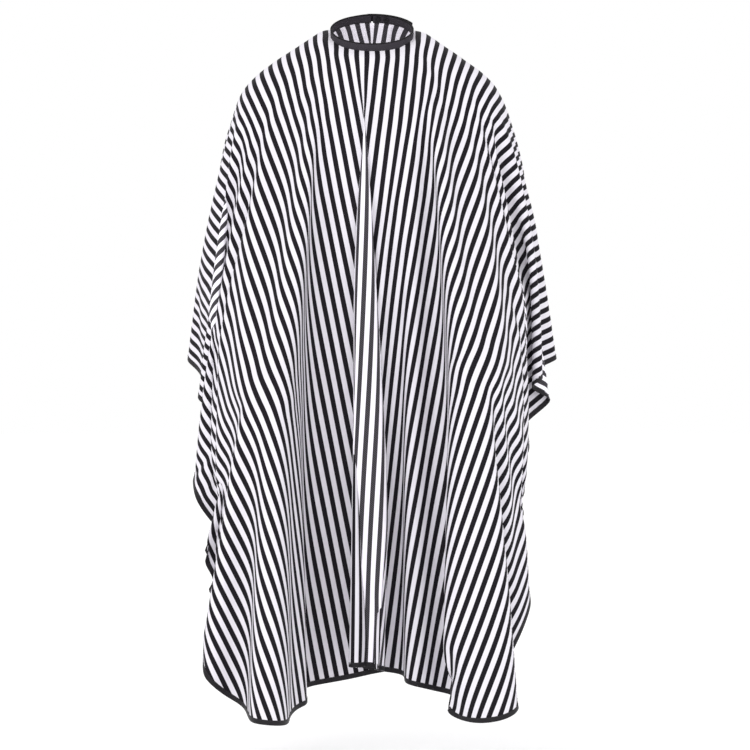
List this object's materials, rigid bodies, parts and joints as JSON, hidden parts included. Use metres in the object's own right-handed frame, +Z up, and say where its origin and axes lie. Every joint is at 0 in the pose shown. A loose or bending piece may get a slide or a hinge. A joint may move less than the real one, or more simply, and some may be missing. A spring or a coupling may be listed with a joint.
{
  "type": "barber cape",
  "caption": "Striped cloth cape hung from a round snapped neckband, with bound edges, a back slit and a lapping closure tab.",
  "frame": {"origin": "centre of the neck opening, on the neckband's axis at mid height of the band", "axes": "+Z up as worn, -Y to the wearer's front; the neckband's plane tips 21 degrees, front low"},
  "size_m": [0.5978, 0.5098, 1.1517],
  "materials": {
    "striped_cloth": "woven polyester, black and white stripes 8 mm wide, slight sheen",
    "binding_tape": "black folded bias tape, stitched",
    "neckband_cloth": "black folded band, stitched along both edges",
    "interlining": "stiff non-woven",
    "snap_metal": "nickel-plated brass",
    "snap_enamel": "black stove enamel on pressed brass"
  },
  "bodies": {
    "cape": {"cape_panel": "striped_cloth", "hem_binding": "binding_tape", "slit_binding_left": "binding_tape", "slit_binding_right": "binding_tape", "neckband": "neckband_cloth", "neckband_interlining": "interlining", "tab_root": "neckband_cloth", "stud_cap_1": "snap_enamel", "stud_cap_2": "snap_enamel", "snap_stud_1": "snap_metal", "snap_stud_2": "snap_metal"},
    "closure_tab": {"closure_tab": "neckband_cloth", "tab_interlining": "interlining", "snap_cap_1": "snap_enamel", "snap_cap_2": "snap_enamel", "snap_cap_3": "snap_enamel", "snap_cap_4": "snap_enamel", "snap_cap_5": "snap_enamel", "snap_socket_1": "snap_metal", "snap_socket_2": "snap_metal", "snap_socket_3": "snap_metal", "snap_socket_4": "snap_metal", "snap_socket_5": "snap_metal"}
  },
  "joints": [
    {"name": "tab_fold", "type": "hinge", "parent": "cape", "child": "closure_tab", "pos_m": [-0.00634, 0.06527, 0.02506], "axis": [0, -0.3584, 0.9336], "range_deg": [0, 120]}
  ]
}
